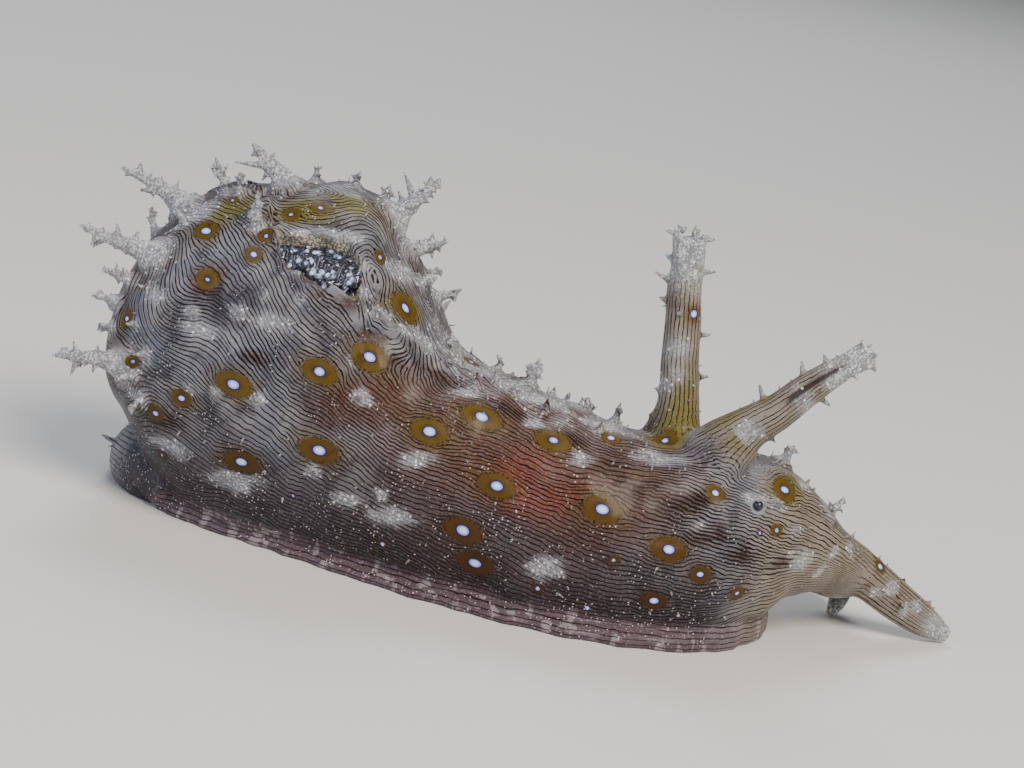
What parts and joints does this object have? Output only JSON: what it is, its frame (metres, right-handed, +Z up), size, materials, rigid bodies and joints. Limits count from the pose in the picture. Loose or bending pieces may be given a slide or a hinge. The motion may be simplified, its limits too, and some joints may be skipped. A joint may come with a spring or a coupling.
{
  "type": "spiky sea hare",
  "caption": "Spiky sea hare, a soft sea slug with a humped back, branched skin tips, fine dark lines and ringed spots, at rest on its flat foot.",
  "frame": {"origin": "on the flat sole, under the middle of the body", "axes": "+X towards the head, +Y to the animal's left, +Z up"},
  "size_m": [0.0527, 0.0203, 0.0215],
  "materials": {
    "skin": "wet satin",
    "foot": "wet satin",
    "mantle": "wet gloss",
    "eye": "gloss"
  },
  "bodies": {
    "root": {"hump": "skin", "neck": "skin", "head": "skin", "foot": "foot", "tail": "skin", "parapodium_right": "skin", "parapodium_left": "skin", "mantle": "mantle", "rhinophore_right": "skin", "rhinophore_left": "skin", "oral_tentacle_right": "skin", "oral_tentacle_left": "skin", "eye_right": "eye", "eye_left": "eye"}
  },
  "joints": []
}
